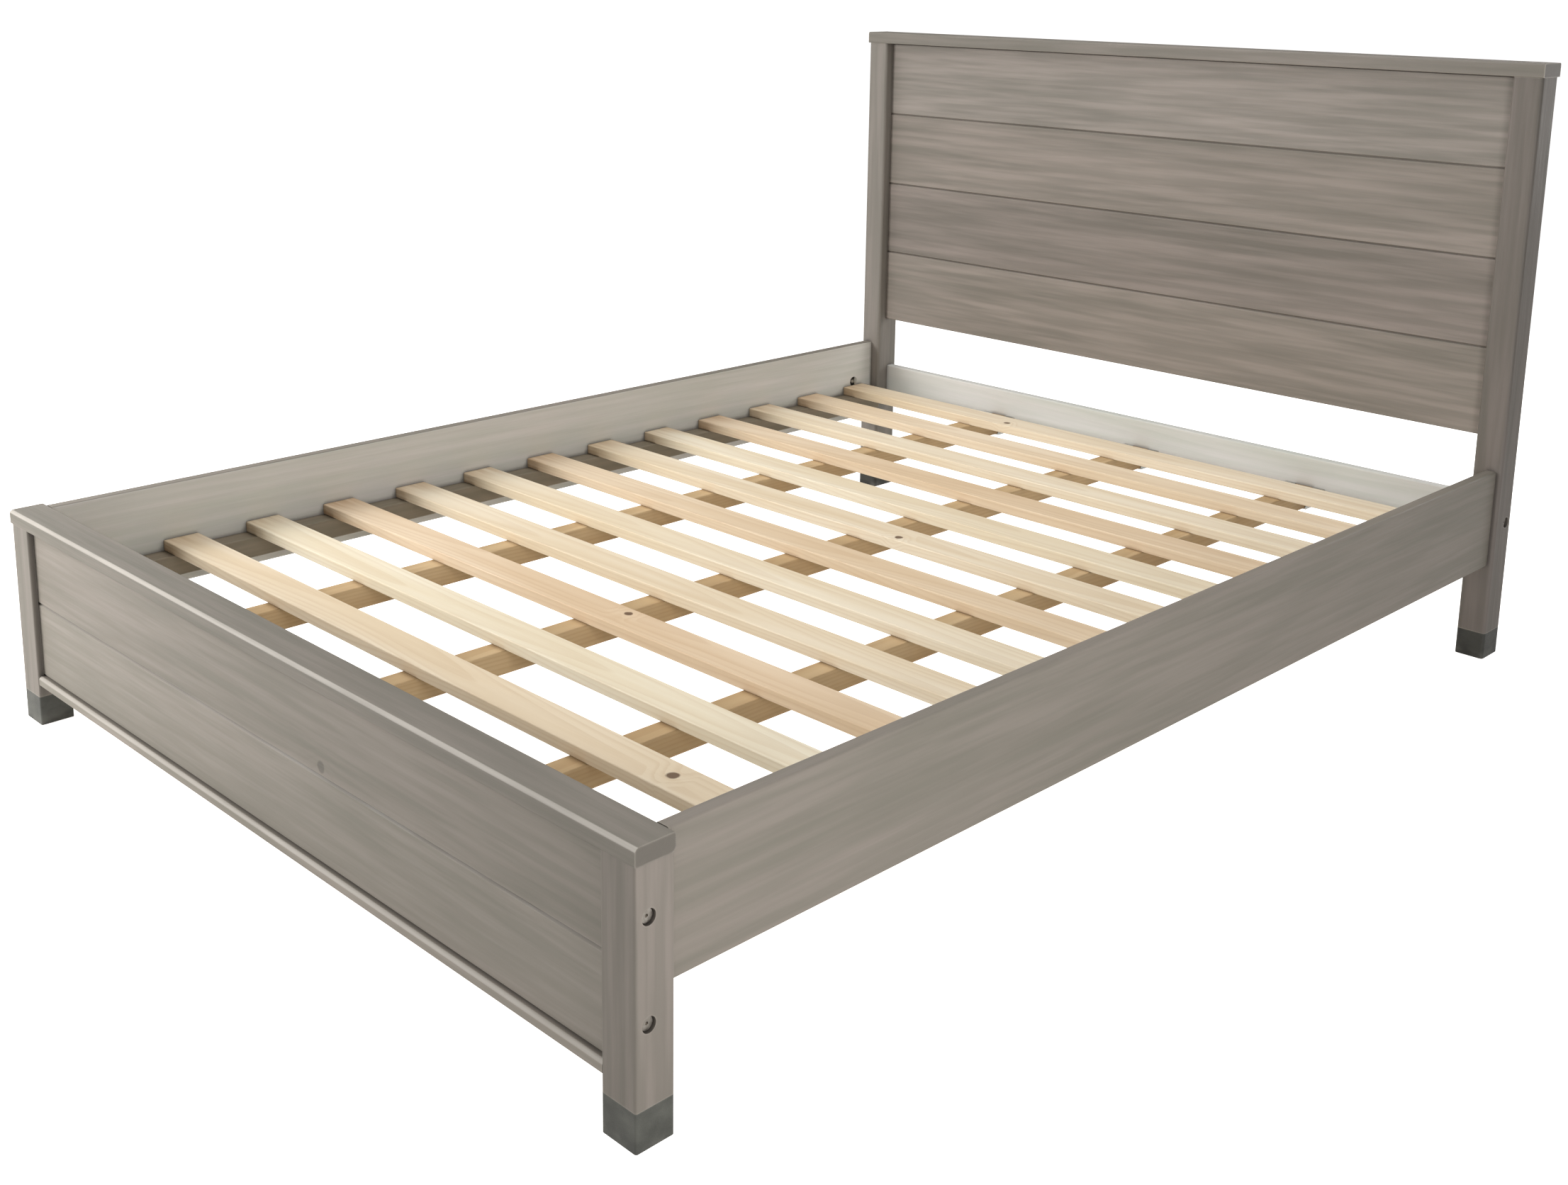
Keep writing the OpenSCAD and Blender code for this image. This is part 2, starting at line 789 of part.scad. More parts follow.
module rail_bolts()
    color(steel)
        at_rail_ends()
            round_y(0, -rail_bolt_depth, nut_y + nut_t + thread_past_nut, 0, rail_bolt_d);

module half_moon_washers()
    color(steel)
        at_rail_ends()
            difference() {
                translate([-rail_t / 2, pocket_in, 0])
                    rotate([0, 90, 0])
                        cylinder(h = pocket_depth - fit, d = pocket_d - 2 * fit);
                translate([-rail_t, nut_y, -pocket_d])
                    cube([2 * rail_t, 2 * pocket_d, 2 * pocket_d]);
                round_y(0, 0, pocket_in, 0, rail_bolt_d + 2 * bolt_fit);
            }

module rail_nuts()
    color(steel)
        at_rail_ends()
            difference() {
                translate([0, nut_y, 0])
                    rotate([-90, 30, 0])
                        cylinder(h = nut_t, d = nut_af / cos(30), $fn = 6);
                round_y(0, 0, pocket_in + nut_t, 0, rail_bolt_d + 2 * thread_fit);
            }

module rail_dowels()
    color(beech)
        at_rail_ends()
            for (dz = [-dowel_spread, dowel_spread])
                round_y(0, -dowel_in_post, dowel_in_rail, dz, dowel_d);

// ---- bolts and cross dowels ----

// A bolt along X through a right-hand post, into a board whose end lies at end_x
module board_bolt(end_x, y, z) {
    seat_x = half_w - sink_depth;
    tip_x = end_x - cross_dowel_in - cross_dowel_d / 2 - bolt_past_dowel;
    difference() {
        union() {
            round_x(tip_x, seat_x, y, z, board_bolt_d);
            round_x(seat_x, seat_x + bolt_head_t, y, z, bolt_head_d);
        }
        translate([seat_x + bolt_head_t - socket_depth, y, z])
            rotate([0, 90, 0])
                cylinder(h = socket_depth + 1, d = socket_af / cos(30), $fn = 6);
    }
}

// The cross dowel that the bolt screws into
module cross_dowel(end_x, y, z) {
    x = end_x - cross_dowel_in;
    difference() {
        round_y(x, y - cross_dowel_l / 2, y + cross_dowel_l / 2, z, cross_dowel_d);
        round_x(x - cross_dowel_d, x + cross_dowel_d, y, z, board_bolt_d + 2 * thread_fit);
    }
}

foot_board_end_x = half_w - foot_post_w + housing - fit;
low_rail_end_x = half_w - head_post_w;

module foot_board_bolts()
    color(steel)
        both_sides()
            for (z = foot_bolt_zs)
                board_bolt(foot_board_end_x, foot_plank_mid_y, z);

module head_rail_bolts()
    color(steel)
        both_sides()
            board_bolt(low_rail_end_x, low_rail_mid_y, low_rail_mid_z);

module cross_dowels()
    color(steel)
        both_sides() {
            for (z = foot_bolt_zs)
                cross_dowel(foot_board_end_x, foot_plank_mid_y, z);
            cross_dowel(low_rail_end_x, low_rail_mid_y, low_rail_mid_z);
        }

// ---- wooden dowels ----

module cap_dowels()
    color(beech)
        both_sides() {
            round_z(half_w - head_post_w / 2, head_y - head_post_d / 2,
                head_cap_z - cap_dowel_in_post, head_cap_z + cap_dowel_in_cap,
                cap_dowel_d);
            round_z(half_w - foot_post_w / 2, foot_y + foot_post_d / 2,
                foot_cap_z - cap_dowel_in_post, foot_cap_z + cap_dowel_in_cap,
                cap_dowel_d);
        }

module low_rail_dowels()
    color(beech)
        both_sides()
            for (dz = [-1, 1])
                round_x(low_rail_end_x - dowel_in_rail, low_rail_end_x + dowel_in_post,
                    low_rail_mid_y, low_rail_mid_z + dz * low_rail_h / 4, dowel_d);

module bottom_rail_dowels()
    color(beech)
        both_sides()
            for (y = bottom_dowel_ys)
                round_x(half_w - foot_post_w - dowel_in_rail,
                    half_w - foot_post_w + dowel_in_post, y,
                    foot_rail_z + foot_rail_h / 2, dowel_d);

head_post_left();
head_post_right();
foot_post_left();
foot_post_right();
shoe_head_left();
shoe_head_right();
shoe_foot_left();
shoe_foot_right();
head_cap();
head_plank_1();
head_plank_2();
head_plank_3();
head_plank_4();
lower_head_rail();
foot_cap();
foot_plank_upper();
foot_plank_lower();
foot_bottom_rail();
side_rail_left();
side_rail_right();
ledger_left();
ledger_right();
bearer_left();
bearer_middle();
bearer_right();
slat_01();
slat_02();
slat_03();
slat_04();
slat_05();
slat_06();
slat_07();
slat_08();
slat_09();
slat_10();
slat_11();
slat_12();
slat_13();
bearer_hangers();
hanger_screws();
slat_screws();
ledger_screws();
shoe_screws();
rail_bolts();
half_moon_washers();
rail_nuts();
rail_dowels();
foot_board_bolts();
head_rail_bolts();
cross_dowels();
cap_dowels();
low_rail_dowels();
bottom_rail_dowels();
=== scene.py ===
import math

import bmesh
import bpy
from mathutils import Matrix, Vector


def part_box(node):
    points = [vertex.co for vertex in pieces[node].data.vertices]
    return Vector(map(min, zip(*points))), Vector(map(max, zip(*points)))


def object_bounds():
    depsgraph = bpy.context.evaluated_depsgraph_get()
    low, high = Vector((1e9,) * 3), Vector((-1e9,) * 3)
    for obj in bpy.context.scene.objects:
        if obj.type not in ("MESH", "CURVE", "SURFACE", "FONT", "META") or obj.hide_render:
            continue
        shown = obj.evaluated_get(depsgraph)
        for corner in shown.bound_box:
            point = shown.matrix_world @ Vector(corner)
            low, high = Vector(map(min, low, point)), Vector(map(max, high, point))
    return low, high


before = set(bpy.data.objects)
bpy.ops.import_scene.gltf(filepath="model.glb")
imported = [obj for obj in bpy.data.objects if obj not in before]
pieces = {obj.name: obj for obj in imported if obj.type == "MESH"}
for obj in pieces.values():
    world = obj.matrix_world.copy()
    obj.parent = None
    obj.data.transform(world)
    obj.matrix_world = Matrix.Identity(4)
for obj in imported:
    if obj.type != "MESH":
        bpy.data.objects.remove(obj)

cad_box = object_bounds()


# ---------------------------------------------------------------------------------------
# The four posts. Each is a square length of pine, planed and eased along its corners, and
# wiped with a thin grey stain that leaves the grain showing through.
# They stand on their shoes, and every board and rail is let into them or bolted to them.

def put(tree, socket, value):
    """Feeds a socket from another socket, or sets it to a plain value."""
    if isinstance(value, bpy.types.NodeSocket):
        tree.links.new(value, socket)
    else:
        socket.default_value = value


def math_of(tree, operation, first, second=0.0, third=0.0):
    step = tree.nodes.new("ShaderNodeMath")
    step.operation = operation
    for socket, value in zip(step.inputs, (first, second, third)):
        put(tree, socket, value)
    return step.outputs[0]


def vector_of(tree, operation, first, second):
    step = tree.nodes.new("ShaderNodeVectorMath")
    step.operation = operation
    put(tree, step.inputs[0], first)
    put(tree, step.inputs[1], second)
    return step.outputs["Vector"]


def noise_of(tree, place, detail=2.0, roughness=0.5):
    """Noise with about one blotch to each unit of the place it's given."""
    step = tree.nodes.new("ShaderNodeTexNoise")
    put(tree, step.inputs["Vector"], place)
    step.inputs["Scale"].default_value = 1.0
    step.inputs["Detail"].default_value = detail
    step.inputs["Roughness"].default_value = roughness
    return step.outputs["Fac"]


def ramp_of(tree, value, low, high, to_low=0.0, to_high=1.0):
    """Eases the range from low to high over the range from to_low to to_high."""
    step = tree.nodes.new("ShaderNodeMapRange")
    step.interpolation_type = "SMOOTHSTEP"
    put(tree, step.inputs["Value"], value)
    put(tree, step.inputs["From Min"], low)
    put(tree, step.inputs["From Max"], high)
    put(tree, step.inputs["To Min"], to_low)
    put(tree, step.inputs["To Max"], to_high)
    return step.outputs["Result"]


def mix_of(tree, share, first, second, blend="MIX"):
    """Mixes two colours: share 0 gives the first and share 1 the second."""
    step = tree.nodes.new("ShaderNodeMix")
    step.data_type = "RGBA"
    step.blend_type = blend
    put(tree, step.inputs["Factor"], share)
    put(tree, step.inputs["A"], first)
    put(tree, step.inputs["B"], second)
    return step.outputs["Result"]


def new_group(name, takes, gives):
    """An empty shader group with named sockets, and its two end nodes."""
    tree = bpy.data.node_groups.new(name, "ShaderNodeTree")
    for socket, (kind, value) in takes.items():
        made = tree.interface.new_socket(socket, in_out="INPUT", socket_type=kind)
        if value is not None:
            made.default_value = value
    for socket in gives:
        tree.interface.new_socket(socket, in_out="OUTPUT", socket_type="NodeSocketFloat")
    return tree, tree.nodes.new("NodeGroupInput").outputs, tree.nodes.new("NodeGroupOutput").inputs


def place_group(tree, group, **values):
    step = tree.nodes.new("ShaderNodeGroup")
    step.node_tree = group
    for socket, value in values.items():
        put(tree, step.inputs[socket.replace("_", " ")], value)
    return step.outputs


def make_pine_figure():
    """Growth rings round a pith that wanders, fine fibres, slow changes of tone, and knots.

    Board is a place in the board in metres: along the grain, across its width, through it.
    """
    tree, takes, gives = new_group(
        "pine figure",
        {
            "Board": ("NodeSocketVector", None),
            "Seed": ("NodeSocketFloat", 0.0),
            "Ring Width": ("NodeSocketFloat", 0.005),
            "Pith Depth": ("NodeSocketFloat", 0.06),
            "Knot Share": ("NodeSocketFloat", 0.0),
            "Known Knot": ("NodeSocketVector", (9.0, 9.0, 0.0)),
        },
        ("Rings", "Fibres", "Streaks", "Drift", "Knot", "Height"),
    )
    shift = tree.nodes.new("ShaderNodeCombineXYZ")
    put(tree, shift.inputs["X"], math_of(tree, "MULTIPLY", takes["Seed"], 7.31))
    put(tree, shift.inputs["Y"], math_of(tree, "MULTIPLY", takes["Seed"], 3.17))
    put(tree, shift.inputs["Z"], math_of(tree, "MULTIPLY", takes["Seed"], 5.73))
    here = vector_of(tree, "ADD", takes["Board"], shift.outputs["Vector"])

    # Knots run through the board, so they are laid out over its face only.
    cell = 0.27
    spots = tree.nodes.new("ShaderNodeTexVoronoi")
    spots.voronoi_dimensions = "2D"
    spots.inputs["Scale"].default_value = 1.0 / cell
    spots.inputs["Randomness"].default_value = 0.5
    put(tree, spots.inputs["Vector"], here)
    chance = tree.nodes.new("ShaderNodeSeparateColor")
    put(tree, chance.inputs["Color"], spots.outputs["Color"])
    dropped = math_of(tree, "GREATER_THAN", chance.outputs["Red"], takes["Knot Share"])
    away = math_of(tree, "MULTIPLY_ADD", spots.outputs["Distance"], cell, dropped)
    across_face = vector_of(tree, "MULTIPLY", takes["Board"], (1.0, 1.0, 0.0))
    known = tree.nodes.new("ShaderNodeVectorMath")
    known.operation = "DISTANCE"
    put(tree, known.inputs[0], across_face)
    put(tree, known.inputs[1], takes["Known Knot"])
    away = math_of(tree, "MINIMUM", away, known.outputs["Value"])
    ragged = noise_of(tree, vector_of(tree, "MULTIPLY", here, (90.0, 140.0, 60.0)))
    raggedness = 0.004
    away = math_of(tree, "MULTIPLY_ADD", math_of(tree, "SUBTRACT", ragged, 0.5), raggedness, away)
    smallest, largest = 0.0070, 0.0090
    knot_size = ramp_of(tree, chance.outputs["Green"], 0.0, 1.0, smallest, largest)
    reach = math_of(tree, "DIVIDE", away, knot_size)
    knot = ramp_of(tree, reach, 1.2, 0.8)
    swirl = ramp_of(tree, reach, 5.0, 0.6)

    # The rings are cylinders round a pith that runs along the grain and wanders.
    across = tree.nodes.new("ShaderNodeSeparateXYZ")
    put(tree, across.inputs["Vector"], takes["Board"])
    wander = noise_of(tree, vector_of(tree, "MULTIPLY", here, (0.9, 0.7, 0.7)), detail=1.0)
    pith_play = 0.12
    sideways = math_of(tree, "MULTIPLY_ADD", wander, pith_play, -pith_play / 2)
    sideways = math_of(tree, "ADD", across.outputs["Y"], sideways)
    inward = math_of(tree, "ADD", across.outputs["Z"], takes["Pith Depth"])
    radius = math_of(
        tree, "SQRT",
        math_of(tree, "ADD", math_of(tree, "MULTIPLY", sideways, sideways),
                math_of(tree, "MULTIPLY", inward, inward)),
    )
    waver = noise_of(tree, vector_of(tree, "MULTIPLY", here, (2.2, 14.0, 14.0)), detail=2.0)
    waver_depth = 0.006
    swirl_depth = 0.012
    taper = 0.012
    radius = math_of(tree, "MULTIPLY_ADD", waver, waver_depth, radius)
    radius = math_of(tree, "MULTIPLY_ADD", swirl, swirl_depth, radius)
    radius = math_of(tree, "MULTIPLY_ADD", across.outputs["X"], taper, radius)
    year = math_of(tree, "FRACT", math_of(tree, "DIVIDE", radius, takes["Ring Width"]))
    late = math_of(tree, "MULTIPLY", ramp_of(tree, year, 0.35, 0.88),
                   ramp_of(tree, year, 1.0, 0.93))
    put(tree, gives["Rings"], late)

    fibres = noise_of(tree, vector_of(tree, "MULTIPLY", here, (9.0, 420.0, 420.0)),
                      detail=3.0, roughness=0.6)
    put(tree, gives["Fibres"], fibres)
    streaks = noise_of(tree, vector_of(tree, "MULTIPLY", here, (4.0, 75.0, 75.0)), detail=3.0)
    put(tree, gives["Streaks"], ramp_of(tree, streaks, 0.34, 0.70))
    drift = noise_of(tree, vector_of(tree, "MULTIPLY", here, (1.3, 16.0, 16.0)), detail=3.0)
    put(tree, gives["Drift"], ramp_of(tree, drift, 0.30, 0.70))
    put(tree, gives["Knot"], knot)
    relief = math_of(tree, "MULTIPLY_ADD", fibres, 0.6, math_of(tree, "MULTIPLY", late, 0.4))
    sunk = math_of(tree, "MULTIPLY", knot, 0.5)
    put(tree, gives["Height"], math_of(tree, "SUBTRACT", relief, sunk))
    return tree


def make_pale_arris():
    """1 along the arrises, in patches, and 0 on the open faces; the finishes turn paler there."""
    tree, takes, gives = new_group(
        "pale arris",
        {"Reach": ("NodeSocketFloat", 0.004), "Board": ("NodeSocketVector", None)},
        ("Edge",),
    )
    soft = tree.nodes.new("ShaderNodeBevel")
    soft.samples = 6
    put(tree, soft.inputs["Radius"], takes["Reach"])
    face = tree.nodes.new("ShaderNodeNewGeometry")
    agree = tree.nodes.new("ShaderNodeVectorMath")
    agree.operation = "DOT_PRODUCT"
    put(tree, agree.inputs[0], soft.outputs["Normal"])
    put(tree, agree.inputs[1], face.outputs["True Normal"])
    edge = ramp_of(tree, agree.outputs["Value"], 0.99, 0.80)
    patchy = noise_of(tree, vector_of(tree, "MULTIPLY", takes["Board"], (14.0, 60.0, 60.0)),
                      detail=3.0)
    arris_breakup = ramp_of(tree, patchy, 0.25, 0.6, 0.55, 1.0)
    put(tree, gives["Edge"], math_of(tree, "MULTIPLY", edge, arris_breakup))
    return tree


def make_painted_corner_shade():
    """1 deep in grooves and corners and 0 in the open: the mask for painted shade where surfaces
    close in.
    """
    tree, takes, gives = new_group(
        "painted corner shade",
        {"Reach": ("NodeSocketFloat", 0.01)},
        ("Corner",),
    )
    shut = tree.nodes.new("ShaderNodeAmbientOcclusion")
    shut.samples = 6
    put(tree, shut.inputs["Distance"], takes["Reach"])
    put(tree, gives["Corner"], ramp_of(tree, shut.outputs["AO"], 0.88, 0.42))
    return tree


pine_figure = make_pine_figure()
pale_arris = make_pale_arris()
painted_corner_shade = make_painted_corner_shade()


def new_finish(name):
    """A material with its Principled shader, and the tree that holds them."""
    finish = bpy.data.materials.new(name)
    finish.use_nodes = True
    tree = finish.node_tree
    shader = next(step for step in tree.nodes if step.type == "BSDF_PRINCIPLED")
    return finish, tree, shader


def emboss(tree, shader, height, strength, distance):
    """Bumps the surface by a height. distance is in metres."""
    relief = tree.nodes.new("ShaderNodeBump")
    relief.inputs["Strength"].default_value = strength
    relief.inputs["Distance"].default_value = distance
    put(tree, relief.inputs["Height"], height)
    put(tree, shader.inputs["Normal"], relief.outputs["Normal"])


def board_place(tree, piece, grain, width, depth):
    """A place in one board, in metres from its middle: along, across and through."""
    low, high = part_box(piece)
    middle = (low + high) / 2
    spot = tree.nodes.new("ShaderNodeTexCoord")
    local = vector_of(tree, "SUBTRACT", spot.outputs["Object"], tuple(middle))
    parts = tree.nodes.new("ShaderNodeSeparateXYZ")
    put(tree, parts.inputs["Vector"], local)
    board = tree.nodes.new("ShaderNodeCombineXYZ")
    for socket, axis in zip("XYZ", (grain, width, depth)):
        put(tree, board.inputs[socket], parts.outputs[axis])
    return board.outputs["Vector"]


def facing(tree, way, wide=0.30):
    """1 on the faces that look one way, and 0 on the rest."""
    face = tree.nodes.new("ShaderNodeNewGeometry")
    agree = tree.nodes.new("ShaderNodeVectorMath")
    agree.operation = "DOT_PRODUCT"
    put(tree, agree.inputs[0], face.outputs["Normal"])
    put(tree, agree.inputs[1], Vector(way).normalized())
    return ramp_of(tree, agree.outputs["Value"], 1.0 - wide, 1.0 - 0.3 * wide)


def stained_pine(piece, lie, seed, tone, spread=0.17, arris_lift=0.30, knots=0.0, rings=0.08,
                 painted_lit_side=None, painted_lit_tone=None, painted_sheen_way=None, known_knot=None):
    """Pine under a thin grey stain. lie names the axes of its length, width and thickness.

    tone is the middle colour of the stain, and spread is how far it wanders to each side.
    One face, the way the lit-side argument names, may take a paler tone of its own:
    painted light. A rounded arris, the way the sheen argument names, may take a painted highlight.
    """
    finish, tree, shader = new_finish("stained pine " + piece)
    board = board_place(tree, piece, *lie)
    figure = place_group(tree, pine_figure, Board=board, Seed=seed, Ring_Width=0.011,
                         Pith_Depth=0.055, Knot_Share=knots)
    if known_knot:
        figure["Rings"].node.inputs["Known Knot"].default_value = known_knot
    edge = place_group(tree, pale_arris, Reach=0.004, Board=board)["Edge"]
    corner = place_group(tree, painted_corner_shade, Reach=0.012)["Corner"]

    def stain(middle, spread):
        red, green, blue = middle
        low = 1.0 - spread
        high = 1.0 + spread
        return mix_of(tree, shade, (0.97 * low * red, 1.01 * low * green, 0.97 * low * blue, 1.0),
                      (1.01 * high * red, high * green, 1.01 * high * blue, 1.0))

    shade = math_of(tree, "MULTIPLY_ADD", figure["Streaks"], 0.5,
                    math_of(tree, "MULTIPLY", figure["Drift"], 0.5))
    colour = stain(tone, spread)
    # Painted light: the one face gets a much paler tone of its own
    if painted_lit_tone:
        colour = mix_of(tree, facing(tree, painted_lit_side), colour, stain(painted_lit_tone, 0.07))
    summer = (0.62, 0.60, 0.58, 1.0)
    colour = mix_of(tree, math_of(tree, "MULTIPLY", figure["Rings"], rings), colour,
                    summer, blend="MULTIPLY")
    with_grain = [float(axis == lie[0]) for axis in "XYZ"]
    ends = math_of(tree, "MAXIMUM", facing(tree, with_grain),
                   facing(tree, [-part for part in with_grain]))
    end_grain = tuple(0.66 * part for part in tone) + (1.0,)
    colour = mix_of(tree, ends, colour, end_grain)
    fleck = ramp_of(tree, figure["Fibres"], 0.40, 0.78, 0.0, 0.08)
    pale = tuple(1.5 * part for part in tone) + (1.0,)
    colour = mix_of(tree, fleck, colour, pale)
    heart = tuple(0.38 * part for part in tone) + (1.0,)
    colour = mix_of(tree, math_of(tree, "MULTIPLY", figure["Knot"], 0.55), colour, heart)
    # Painted shade in grooves and corners, laid in the dark knot colour
    colour = mix_of(tree, math_of(tree, "MULTIPLY", corner, 0.75), colour, heart)
    # Paler along the arrises, in patches, as the arris mask gives
    arris_pale_colour = (0.52, 0.47, 0.41, 1.0)
    colour = mix_of(tree, math_of(tree, "MULTIPLY", edge, arris_lift), colour, arris_pale_colour)
    # Painted highlight along the rounded arris that looks the given way, broken into patches
    if painted_sheen_way:
        patchy = ramp_of(tree, figure["Streaks"], 0.0, 0.6, 0.75, 1.0)
        rounded = math_of(tree, "MULTIPLY", facing(tree, painted_sheen_way, wide=0.22), patchy)
        sheen_colour = (0.44, 0.41, 0.37, 1.0)
        colour = mix_of(tree, rounded, colour, sheen_colour)
    put(tree, shader.inputs["Base Color"], colour)

    rough = ramp_of(tree, figure["Fibres"], 0.3, 0.7, 0.50, 0.66)
    rough = math_of(tree, "MULTIPLY_ADD", edge, -0.08, rough)
    put(tree, shader.inputs["Roughness"], rough)
    shader.inputs["Specular IOR Level"].default_value = 0.35
    emboss(tree, shader, figure["Height"], strength=0.28, distance=0.0006)
    return finish


def dress(piece, finish, arris=0.0008):
    """Gives a piece its finish, and takes the last sharpness off its arrises."""
    part = pieces[piece]
    part.data.materials.clear()
    part.data.materials.append(finish)
    if arris:
        soften = part.modifiers.new("arris", "BEVEL")
        soften.width = arris
        soften.segments = 2
        soften.limit_method = "ANGLE"
        soften.angle_limit = math.radians(35)


dress("foot_post_left", stained_pine("foot_post_left", "ZXY", 1.3, (0.205, 0.182, 0.160)))
dress("foot_post_right", stained_pine("foot_post_right", "ZXY", 2.9, (0.200, 0.176, 0.154),
                                      arris_lift=0.2))
dress("head_post_left", stained_pine("head_post_left", "ZXY", 4.2, (0.195, 0.176, 0.157)))
# The right head post has a darker tone than the others: painted shade.
dress("head_post_right", stained_pine("head_post_right", "ZXY", 5.6, (0.145, 0.126, 0.113)))


# ---------------------------------------------------------------------------------------
# The shoes. Each is a charcoal cup moulded in hard plastic, as wide as the post above it,
# pushed over the thinner foot of the post and held from below by one screw.

def moulded_charcoal(name, shade):
    finish, tree, shader = new_finish(name)
    spot = tree.nodes.new("ShaderNodeTexCoord").outputs["Object"]
    cloud = noise_of(tree, vector_of(tree, "MULTIPLY", spot, (26.0, 26.0, 34.0)), detail=3.0)
    grit = noise_of(tree, vector_of(tree, "MULTIPLY", spot, (900.0, 900.0, 900.0)), detail=2.0)
    colour = mix_of(tree, ramp_of(tree, cloud, 0.3, 0.7),
                    tuple(0.75 * part for part in shade) + (1.0,),
                    tuple(1.25 * part for part in shade) + (1.0,))
    edge = place_group(tree, pale_arris, Reach=0.003, Board=spot)["Edge"]
    colour = mix_of(tree, math_of(tree, "MULTIPLY", edge, 0.45), colour, (0.20, 0.20, 0.18, 1.0))
    height = tree.nodes.new("ShaderNodeSeparateXYZ")
    put(tree, height.inputs["Vector"], spot)
    scuff = math_of(tree, "MULTIPLY", ramp_of(tree, height.outputs["Z"], 0.022, 0.0),
                    ramp_of(tree, cloud, 0.4, 0.65))
    colour = mix_of(tree, math_of(tree, "MULTIPLY", scuff, 0.35), colour, (0.17, 0.165, 0.15, 1.0))
    put(tree, shader.inputs["Base Color"], colour)
    put(tree, shader.inputs["Roughness"], ramp_of(tree, grit, 0.3, 0.7, 0.42, 0.60))
    emboss(tree, shader, grit, strength=0.25, distance=0.0003)
    return finish


foot_shoe = moulded_charcoal("moulded charcoal foot", (0.080, 0.081, 0.070))
# The head shoes are darker than the foot shoes: painted shade.
shaded_head_shoe = moulded_charcoal("moulded charcoal head", (0.030, 0.030, 0.025))
for side in ("left", "right"):
    dress("shoe_foot_" + side, foot_shoe)
    dress("shoe_head_" + side, shaded_head_shoe)


# ---------------------------------------------------------------------------------------
# The footboard. Two tongued planks stand one on the other in grooves in the posts, with a
# bevelled joint between them, on a stepped bottom rail. The cap runs over both posts, and
# its front top arris, like that of the bottom rail, carries a painted highlight.

# The way the arris between the front and the top of a board looks, where the painted highlight is
# laid
front_arris = (0.0, -1.0, 1.0)

dress("foot_plank_lower", stained_pine("foot_plank_lower", "XZY", 11.4, (0.250, 0.223, 0.194)))
dress("foot_plank_upper", stained_pine("foot_plank_upper", "XZY", 12.7, (0.230, 0.204, 0.177),
                                       known_knot=(0.150, -0.053, 0.0)))
dress("foot_bottom_rail", stained_pine("foot_bottom_rail", "XYZ", 13.8, (0.284, 0.251, 0.219),
                                       painted_sheen_way=front_arris))
dress("foot_cap", stained_pine("foot_cap", "XYZ", 14.5, (0.190, 0.171, 0.147),
                               painted_sheen_way=front_arris))


# ---------------------------------------------------------------------------------------
# The headboard. Four tongued planks fill the space between the tall posts, each cut from
# another board, so their tones differ a little. A cap lies over them and the posts, and a
# paler rail ties the posts together just above the deck.

head_tones = (
    ("head_plank_1", 21.1, (0.232, 0.206, 0.184)),
    ("head_plank_2", 22.6, (0.214, 0.186, 0.163)),
    ("head_plank_3", 23.3, (0.195, 0.168, 0.149)),
    ("head_plank_4", 24.9, (0.217, 0.189, 0.165)),
)
for plank, seed, tone in head_tones:
    dress(plank, stained_pine(plank, "XZY", seed, tone, spread=0.26))
dress("head_cap", stained_pine("head_cap", "XYZ", 25.2, (0.190, 0.170, 0.150), arris_lift=0.45))
dress("lower_head_rail", stained_pine("lower_head_rail", "XZY", 26.4, (0.585, 0.575, 0.550),
                                      spread=0.06, arris_lift=0.1))


# ---------------------------------------------------------------------------------------
# The side rails and their ledgers. Each rail is one deep board, hung between the posts on
# two dowels and a bolt at either end. A square ledger is screwed along its inner face.

# The inner face of each rail gets a much paler tone: painted light.
for side, seed, inward in (("left", 31.7, 1.0), ("right", 33.4, -1.0)):
    dress("side_rail_" + side, stained_pine("side_rail_" + side, "YZX", seed,
                                            (0.216, 0.191, 0.165), spread=0.13,
                                            painted_lit_side=(inward, 0.0, 0.0),
                                            painted_lit_tone=(0.600, 0.580, 0.550)))
    dress("ledger_" + side, stained_pine("ledger_" + side, "YZX", seed + 0.8,
                                         (0.210, 0.172, 0.125), knots=0.2))


# ---------------------------------------------------------------------------------------
# The deck. Thirteen planed pine slats lie across the ledgers and three square bearers, all
# of it plain wood with no stain, so the rings, knots and pinker heartwood show.

